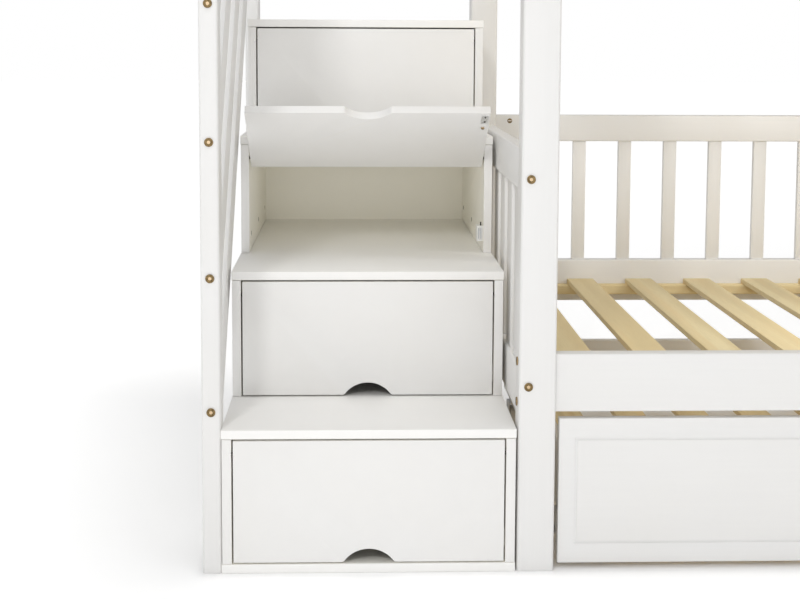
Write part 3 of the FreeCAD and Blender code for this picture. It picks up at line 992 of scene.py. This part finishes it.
@dataclass
class DropFronts:
    """The four flaps with their pins, strike plates, stop screws and magnetic catches."""

    shop: Workshop
    rounding: float = 0.0009
    corner: float = 0.0030
    dimple_radius: float = 0.0030
    dimple_depth: float = 0.0005
    dimple_spacing: float = 0.016
    screw_radius: float = 0.0034
    screw_rise: float = 0.0034
    screw_lift: float = 0.053
    screw_inset: float = 0.002
    plate_rim: float = 0.0012
    plate_sink: float = 0.0003
    dot_inset: float = 0.0008
    dot_height: float = 0.0007
    dot_sink: float = 0.0004
    dot_easing: float = 0.0002
    dome: float = 0.0016
    slot_reach: tuple[float, float, float] = (0.0020, 0.0007, 0.0004)
    slot_tell: float = 0.0005
    open_step: int = 3
    housing_easing: float = 0.0008
    mouth_side: float = 0.0022
    mouth_end: float = 0.0035
    mouth_depth: float = 0.0022
    mouth_overlap: float = 0.001
    pole_offset: float = 0.0022
    pole_width: float = 0.0018
    pole_end: float = 0.005
    pole_front: float = 0.0001
    pole_back: float = 0.0032
    pole_easing: float = 0.0003
    pin_radius: float = 0.0014
    pin_height: float = 0.0080
    pin_foot: tuple[float, float, float] = (0.0040, 0.0050, 0.0005)
    pin_easing: float = 0.0005

    def build(self) -> None:
        """Build and dress the flaps and their fittings."""
        finishes = self.shop.finishes
        plate, dots, screw = self.strike_plate(), self.plate_screws(), self.stop_screw()
        for step in STEPS:
            self.shop.board(f"flap_{step}", finishes.smooth, width=self.rounding)
            node = f"strike_plate_{step}"
            for model, name, material, slot, nodes in (
                    (plate, node + "_punched", finishes.steel, Slot.STEEL, (node,)),
                    (dots, f"plate_screws_{step}", finishes.dark_steel, Slot.STEEL, ()),
                    (screw, f"stop_screw_{step}", finishes.bronze, Slot.BRONZE, ())):
                fitted = Bench.copy(model, self.way_to(step))
                fitted.name = name
                self.shop.dress(Bench.smooth(fitted), material, slot, f"flap_body_{step}", *nodes)
        for model in (plate, dots, screw):
            bpy.data.objects.remove(model, do_unlink=True)
        self.shop.plain("flap_pins", finishes.dark_steel)
        self.catches()

    def way_to(self, step: int) -> Matrix:
        """Give the move from the lowest flap, shut, to another flap as it rests.

        Args:
            step: the flap's step from below.

        Returns:
            The move.
        """
        joints = {joint["name"]: joint for joint in self.shop.frame["joints"]}
        first, own = joints["flap_1_pivot"], joints[f"flap_{step}_pivot"]
        pivot = Vector(own["pos_m"])
        move = Matrix.Translation(pivot) @ Matrix.Translation(-Vector(first["pos_m"]))
        if step != self.open_step:
            return move
        swing = Matrix.Rotation(math.radians(own["range_deg"][0]), 4, "X")
        return Matrix.Translation(pivot) @ swing @ Matrix.Translation(-pivot) @ move

    def strike_plate(self) -> bpy.types.Object:
        """Model the lowest strike plate: round corners, a face sunk in its rim and two dimples.

        Returns:
            The plate.
        """
        low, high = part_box("strike_plate_1")
        plate = Bench.box("strike_plate_model", low, high)
        Bench.round_upright(plate, self.corner, Vector((0, 1, 0)))
        Bench.inset(plate, lambda centre, normal: normal.y > FACING, self.plate_rim,
                    -self.plate_sink)
        middle = (low + high) / 2
        dents = []
        for side in (-1, 1):
            centre = (middle.x, high.y, middle.z + side * self.dimple_spacing / 2)
            dents.append(Bench.rod("dent", centre, self.dimple_radius, 2 * self.dimple_depth,
                                   (0, 1, 0), 20))
        return Bench.cut(plate, Bench.join("dents", dents))

    def plate_screws(self) -> bpy.types.Object:
        """Model the two small screws that sit sunk in the lowest strike plate's dimples.

        Returns:
            Both screws in one piece.
        """
        low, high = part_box("strike_plate_1")
        middle = (low + high) / 2
        screws = []
        for side in (-1, 1):
            centre = (middle.x, high.y - self.dot_sink,
                      middle.z + side * self.dimple_spacing / 2)
            head = Bench.rod("plate_screw", centre, self.dimple_radius - self.dot_inset,
                             self.dot_height, (0, 1, 0), 20)
            screws.append(Bench.round_edges(head, self.dot_easing))
        return Bench.join("plate_screws_model", screws)

    def stop_screw(self) -> bpy.types.Object:
        """Model the domed and cross-slotted screw on the lowest flap's inner face.

        Returns:
            The screw.
        """
        plate_low, plate_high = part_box("strike_plate_1")
        flap_low, flap_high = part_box("flap_1")
        x = (plate_low.x + plate_high.x) / 2 - self.screw_inset
        z = flap_low.z + self.screw_lift
        base = Vector((x, flap_high.y + self.screw_rise / 2, z))
        screw = Bench.rod("stop_screw_model", base, self.screw_radius, self.screw_rise,
                          (0, 1, 0), 24)
        Bench.round_edges(screw, self.dome, 4)
        top = base + Vector((0, self.screw_rise / 2, 0))
        half = Vector(self.slot_reach)
        slots = [Bench.box("slot", top - reach, top + reach) for reach in (half, half.zyx)]
        for slot in slots:
            Bench.cut(screw, slot)
        return Bench.mark(screw, lambda spot: spot.y < top.y - self.slot_tell)

    def catches(self) -> None:
        """Build the catches: a housing with an open mouth, two pole plates and a pin on each."""
        housings, poles, pins = [], [], []
        for low, high in self.shop.shells("magnet_catches"):
            housing = Bench.box("housing", low, high)
            Bench.round_edges(housing, self.housing_easing)
            mouth = Bench.box("mouth", (low.x + self.mouth_side, low.y - self.mouth_overlap,
                                        low.z + self.mouth_end),
                              (high.x - self.mouth_side, low.y + self.mouth_depth,
                               high.z - self.mouth_end))
            housings.append(Bench.cut(housing, mouth))
            middle = (low.x + high.x) / 2
            half = self.pole_width / 2
            for side in (-1, 1):
                x = middle + side * self.pole_offset
                pole = Bench.box("pole",
                                 (x - half, low.y + self.pole_front, low.z + self.pole_end),
                                 (x + half, low.y + self.pole_back, high.z - self.pole_end))
                poles.append(Bench.round_edges(pole, self.pole_easing))
            aside, behind, sunk = self.pin_foot
            centre = (high.x - aside, low.y + behind, high.z + self.pin_height / 2 - sunk)
            pin = Bench.rod("pin", centre, self.pin_radius, self.pin_height, (0, 0, 1), 16)
            pins.append(Bench.round_edges(pin, self.pin_easing))
        finishes = self.shop.finishes
        self.shop.dress(Bench.join("catch_housings", housings), finishes.white_plastic,
                        Slot.WHITE_PLASTIC, "bed", "magnet_catches")
        self.shop.dress(Bench.join("catch_poles", poles), finishes.zinc, Slot.ZINC, "bed")
        self.shop.dress(Bench.join("catch_pins", pins), finishes.dark_steel, Slot.STEEL, "bed")


@dataclass
class Uprights:
    """The stair posts, the bed posts and the post beside the way in."""

    shop: Workshop
    rounding: float = 0.0012

    def build(self) -> None:
        """Build and dress the posts."""
        for place in ("front", "rear"):
            self.shop.board(f"stair_post_{place}", self.shop.finishes.along_z,
                            width=self.rounding)
            for side in ("left", "right"):
                self.shop.board(f"bed_post_{place}_{side}", self.shop.finishes.along_z,
                                width=self.rounding)
        self.shop.board("entry_post", self.shop.finishes.along_z, width=self.rounding)


@dataclass
class Railing:
    """The slanted boards beside the stairs, the rail on them and the landing's guard rails."""

    shop: Workshop
    rounding: float = 0.0014

    def build(self) -> None:
        """Build and dress the railing."""
        self.shop.board("railing_boards", self.shop.finishes.slanted, width=self.rounding)
        self.shop.board("railing_top_rail", self.shop.finishes.along_y)
        self.shop.board("landing_guard_rails", self.shop.finishes.along_x)


@dataclass
class Bunks:
    """The rails, ledgers, slats and guards of both bunks."""

    shop: Workshop
    slat_rounding: float = 0.0007

    def build(self) -> None:
        """Build and dress both bunks."""
        finishes = self.shop.finishes
        for name in ("lower", "upper"):
            self.shop.board(f"{name}_side_rails", finishes.along_x)
            self.shop.board(f"{name}_ledgers", finishes.ledger_pine, Slot.PINE)
            self.shop.board(f"{name}_slats", finishes.slat_pine, Slot.PINE, self.slat_rounding)
            self.shop.board(f"{name}_guard_slats", finishes.along_z, width=self.slat_rounding)
        self.shop.board("lower_guard_rail", finishes.along_x)
        self.shop.board("upper_guard_rails", finishes.along_x)


@dataclass
class EndFrames:
    """The rails and slats of the end frames and the short guard beside the way in."""

    shop: Workshop
    slat_rounding: float = 0.0007

    def build(self) -> None:
        """Build and dress the end frames."""
        finishes = self.shop.finishes
        for node in ("lower_end_bottom_rails", "upper_end_bottom_rails", "lower_end_top_rails",
                     "upper_end_top_rail", "entry_rail"):
            self.shop.board(node, finishes.along_y)
        for node in ("lower_end_slats", "upper_end_slats", "entry_slats"):
            self.shop.board(node, finishes.along_z, width=self.slat_rounding)


@dataclass
class Trundle:
    """The pull-out bed with its casters."""

    shop: Workshop
    slat_rounding: float = 0.0007

    def build(self) -> None:
        """Build and dress the trundle."""
        finishes = self.shop.finishes
        self.shop.board("trundle_front", finishes.along_x)
        self.shop.board("trundle_back", finishes.along_x)
        self.shop.board("trundle_ends", finishes.along_y)
        self.shop.board("trundle_bearers", finishes.ledger_pine, Slot.PINE)
        self.shop.board("trundle_slats", finishes.slat_pine, Slot.PINE, self.slat_rounding)
        self.shop.plain("caster_forks", finishes.zinc)
        self.shop.plain("caster_axles", finishes.zinc)
        for number in (1, 2, 3, 4):
            self.shop.plain(f"wheel_{number}", finishes.wheel_plastic)


@dataclass
class Bolts:
    """The dished bolt heads with their six-sided sockets, and the barrel nuts that they meet."""

    shop: Workshop
    radius: float = 0.0075
    height: float = 0.0025
    rim: float = 0.0012
    dish: float = 0.0006
    dish_slope: float = 0.0022
    easing: float = 0.0006
    near: float = 0.0002
    middle: float = 0.002
    socket: float = 0.0032
    socket_depth: float = 0.0012
    nut_radius: float = 0.0060
    nut_length: float = 0.0100
    nut_rise: float = 0.0004
    nut_inset: float = 0.034
    slot_share: float = 0.72
    slot_half: float = 0.0009
    guard_drop: float = 0.014
    rail_lift: float = 0.085

    def build(self) -> None:
        """Build one head and one nut, and set their copies."""
        heads = self.heads()
        bronze = self.shop.finishes.bronze
        self.shop.dress(Bench.smooth(heads), bronze, Slot.BRONZE, "bed", "bolts")
        nuts = self.nuts()
        self.shop.dress(Bench.smooth(nuts), bronze, Slot.BRONZE, "bed")

    def heads(self) -> bpy.types.Object:
        """Set a copy of the head on every packed one.

        Returns:
            All heads in one piece.
        """
        model = self.head()
        heads = []
        for low, high in self.shop.shells("bolts"):
            size = high - low
            centre = (low + high) / 2
            thin = min(range(3), key=lambda index: size[index])
            axis = Vector([0, 0, 0])
            axis[thin] = 1 if centre[thin] > 0 else -1
            turn = axis.to_track_quat("Z", "Y").to_matrix().to_4x4()
            heads.append(Bench.copy(model, Matrix.Translation(centre) @ turn))
        bpy.data.objects.remove(model, do_unlink=True)
        return Bench.join("bolt_heads", heads)

    def head(self) -> bpy.types.Object:
        """Model one head at the origin, its face towards +Z.

        Returns:
            The head.
        """
        head = Bench.rod("head", (0, 0, 0), self.radius, self.height, (0, 0, 1), 30)
        Bench.round_edges(head, self.easing)
        for width, rise in ((self.rim, 0.0), (self.dish_slope, -self.dish)):
            Bench.inset(head, lambda centre, normal: normal.z > FACING
                        and centre.length < self.middle, width, rise)
        socket = Bench.rod("socket", (0, 0, self.height / 2), self.socket,
                           2 * (self.dish + self.socket_depth), (0, 0, 1), 6)
        Bench.cut(head, socket)
        floor = self.height / 2 - self.dish - self.socket_depth
        return Bench.mark(head, lambda spot: abs(spot.z - floor) < self.near)

    def nuts(self) -> bpy.types.Object:
        """Set slotted barrel nuts on the inner faces of the rails, near their ends.

        Returns:
            All nuts in one piece.
        """
        spots = []
        for node in ("lower_side_rails", "upper_side_rails", "lower_guard_rail",
                     "upper_guard_rails"):
            for low, high in self.shop.shells(node):
                z = low.z + self.rail_lift if "side" in node else high.z - self.guard_drop
                inner, way = (low.y, -1) if low.y > 0 else (high.y, 1)
                spots += [(Vector((x, inner, z)), way)
                          for x in (low.x + self.nut_inset, high.x - self.nut_inset)]
        model = self.nut()
        nuts = []
        for spot, way in spots:
            turn = Vector((0, way, 0)).to_track_quat("Z", "Y").to_matrix().to_4x4()
            nuts.append(Bench.copy(model, Matrix.Translation(spot) @ turn))
        bpy.data.objects.remove(model, do_unlink=True)
        return Bench.join("barrel_nuts", nuts)

    def nut(self) -> bpy.types.Object:
        """Model one barrel nut with its face at the origin, towards +Z.

        Returns:
            The nut.
        """
        centre = (0, 0, self.nut_rise - self.nut_length / 2)
        nut = Bench.rod("nut", centre, self.nut_radius, self.nut_length, (0, 0, 1), 28)
        Bench.round_edges(nut, self.easing)
        half = Vector((self.nut_radius * self.slot_share, self.slot_half, self.slot_half))
        face = Vector((0, 0, self.nut_rise))
        Bench.cut(nut, Bench.box("slot", face - half, face + half))
        bottom = self.nut_rise - self.slot_half
        return Bench.mark(nut, lambda spot: abs(spot.z - bottom) < self.near)


@dataclass(frozen=True)
class Lamp:
    """One soft square light."""

    name: str
    place: tuple[float, float, float]
    aim: tuple[float, float, float]
    size: float
    power: float

    def hang(self) -> None:
        """Hang the light at its place, turned to its aim."""
        light = bpy.data.lights.new(self.name, "AREA")
        light.size = self.size
        light.energy = self.power
        lamp = bpy.data.objects.new(self.name, light)
        lamp.location = self.place
        sight = Vector(self.aim) - Vector(self.place)
        lamp.rotation_euler = sight.to_track_quat("-Z", "Y").to_euler()
        lamp.visible_camera = False
        bpy.context.scene.collection.objects.link(lamp)


@dataclass
class Studio:
    """The plain pale floor, the soft lights and the camera."""

    focal_pixels: float = 1416.3
    centre_row: float = 180.0
    yaw: float = 0.0344
    pitch: float = 0.0967
    roll: float = 0.0045
    stand: tuple[float, float, float] = (-1.00275, -2.8873, 0.9001)
    width: int = 800
    height: int = 600
    sensor: float = 36.0
    near_limit: float = 0.05
    far_limit: float = 200.0
    bounces: int = 12
    floor_size: float = 60.0
    floor_parts: int = 8
    floor_tone: Color = (0.98, 0.98, 0.98)
    footprint: tuple[float, float] = (1.25, 0.55)
    near_glow: float = 0.14
    middle_glow: float = 0.36
    far_glow: float = 0.54
    near_reach: float = 0.02
    middle_reach: float = 0.5
    far_reach: float = 5.0
    glow: float = 0.49
    backdrop: float = 1.0
    lamps: tuple[Lamp, ...] = (
        Lamp("key_light", (-2.4, -5.0, 3.6), (-0.9, 0.0, 0.7), 0.6, 61.0),
        Lamp("front_light", (-1.0, -6.5, 0.8), (-0.8, 0.0, 0.6), 1.5, 34.0),
        # The next two stand inside the bed, in the lower bunk and in the open step.
        Lamp("bunk_light", (0.15, -0.44, 0.84), (0.1, 0.54, 0.6), 0.4, 2.9),
        Lamp("step_light", (-0.98, 0.12, 0.69), (-0.98, 0.14, 0.48), 0.3, 0.07),
        Lamp("top_light", (-0.5, -1.2, 4.5), (-0.5, -0.6, 0.0), 3.0, 50.0),
    )

    def build(self) -> None:
        """Build the floor, the lights and the camera."""
        bpy.context.scene.view_settings.view_transform = "Standard"
        bpy.context.scene.cycles.diffuse_bounces = self.bounces
        self.floor()
        self.sky()
        for lamp in self.lamps:
            lamp.hang()
        self.camera()

    def floor(self) -> None:
        """Lay the floor, named studio_floor."""
        bpy.ops.object.select_all(action="DESELECT")
        bpy.ops.mesh.primitive_grid_add(x_subdivisions=self.floor_parts,
                                        y_subdivisions=self.floor_parts,
                                        size=self.floor_size, location=(0, 0, 0))
        ground = bpy.context.object
        ground.name = "studio_floor"
        ground.data.materials.append(self.paper())

    def paper(self) -> bpy.types.Material:
        """Make the floor's white paper, lit from below the more the further it lies from the bed.

        Returns:
            The material.
        """
        paper = Recipe("pale_floor")
        where = paper.place()
        cloud = paper.noise(where, 30.0, 3)
        skin = paper.noise(where, 40.0, 2)
        color = paper.ramp(cloud, ((0.35, tint(self.floor_tone, 0.99)), (0.65, self.floor_tone)))
        folded = paper.reckon("VectorMath", "ABSOLUTE", where)
        beyond = paper.reckon("VectorMath", "SUBTRACT", folded, (*self.footprint, 0.0))
        outside = paper.reckon("VectorMath", "MAXIMUM", beyond, (0.0, 0.0, 0.0))
        away = paper.reckon("VectorMath", "LENGTH", outside)
        near = paper.span(away, 0.0, self.near_reach, 0.0, self.near_glow)
        middle = paper.span(away, 0.0, self.middle_reach, 0.0, self.middle_glow - self.near_glow)
        far = paper.span(away, self.middle_reach, self.far_reach, 0.0,
                         self.far_glow - self.middle_glow)
        glow = paper.reckon("Math", "ADD", paper.reckon("Math", "ADD", near, middle), far)
        paper.join(glow, paper.shader.inputs["Emission Strength"])
        paper.shader.inputs["Emission Color"].default_value = (1.0, 1.0, 1.0, 1)
        rough = paper.span(cloud, 0.3, 0.7, 0.80, 0.90)
        return paper.dress(color, rough, paper.bump(skin, 0.02, 0.0001))

    def sky(self) -> None:
        """Set the even light from all round, and the white backdrop that the camera sees."""
        world = bpy.data.worlds.new("studio_light")
        world.use_nodes = True
        tree = world.node_tree
        glow = tree.nodes["Background"]
        glow.inputs["Color"].default_value = (1.0, 1.0, 1.0, 1)
        glow.inputs["Strength"].default_value = self.glow
        white = tree.nodes.new("ShaderNodeBackground")
        white.inputs["Color"].default_value = (1.0, 1.0, 1.0, 1)
        white.inputs["Strength"].default_value = self.backdrop
        path = tree.nodes.new("ShaderNodeLightPath")
        pick = tree.nodes.new("ShaderNodeMixShader")
        tree.links.new(path.outputs["Is Camera Ray"], pick.inputs[0])
        tree.links.new(glow.outputs[0], pick.inputs[1])
        tree.links.new(white.outputs[0], pick.inputs[2])
        tree.links.new(pick.outputs[0], tree.nodes["World Output"].inputs["Surface"])
        bpy.context.scene.world = world

    def camera(self) -> None:
        """Stand the camera at the photograph's point of view."""
        lens = bpy.data.cameras.new("photo_camera")
        lens.sensor_width = self.sensor
        lens.lens = self.focal_pixels * self.sensor / self.width
        lens.shift_y = (self.centre_row - self.height / 2) / self.width
        lens.clip_start, lens.clip_end = self.near_limit, self.far_limit
        forward = Vector((math.sin(self.yaw) * math.cos(self.pitch),
                          math.cos(self.yaw) * math.cos(self.pitch), -math.sin(self.pitch)))
        level = Vector((math.cos(self.yaw), -math.sin(self.yaw), 0))
        upright = level.cross(forward)
        right = math.cos(self.roll) * level + math.sin(self.roll) * upright
        top = -math.sin(self.roll) * level + math.cos(self.roll) * upright
        camera = bpy.data.objects.new("photo_camera", lens)
        camera.matrix_world = Matrix((
            (right.x, top.x, -forward.x, self.stand[0]),
            (right.y, top.y, -forward.y, self.stand[1]),
            (right.z, top.z, -forward.z, self.stand[2]),
            (0, 0, 0, 1),
        ))
        bpy.context.scene.collection.objects.link(camera)
        bpy.context.scene.camera = camera


def main() -> None:
    """Build the bed's looks, one sub-assembly after another."""
    logging.basicConfig(level=logging.INFO, format="%(message)s")
    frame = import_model()
    shop = Workshop(frame, Finishes())
    for part in (StairUnit, DropFronts, Uprights, Railing, Bunks, EndFrames, Trundle, Bolts):
        LOG.info("building %s", part.__name__)
        part(shop).build()
    Studio().build()


if __name__ == "__main__":
    main()
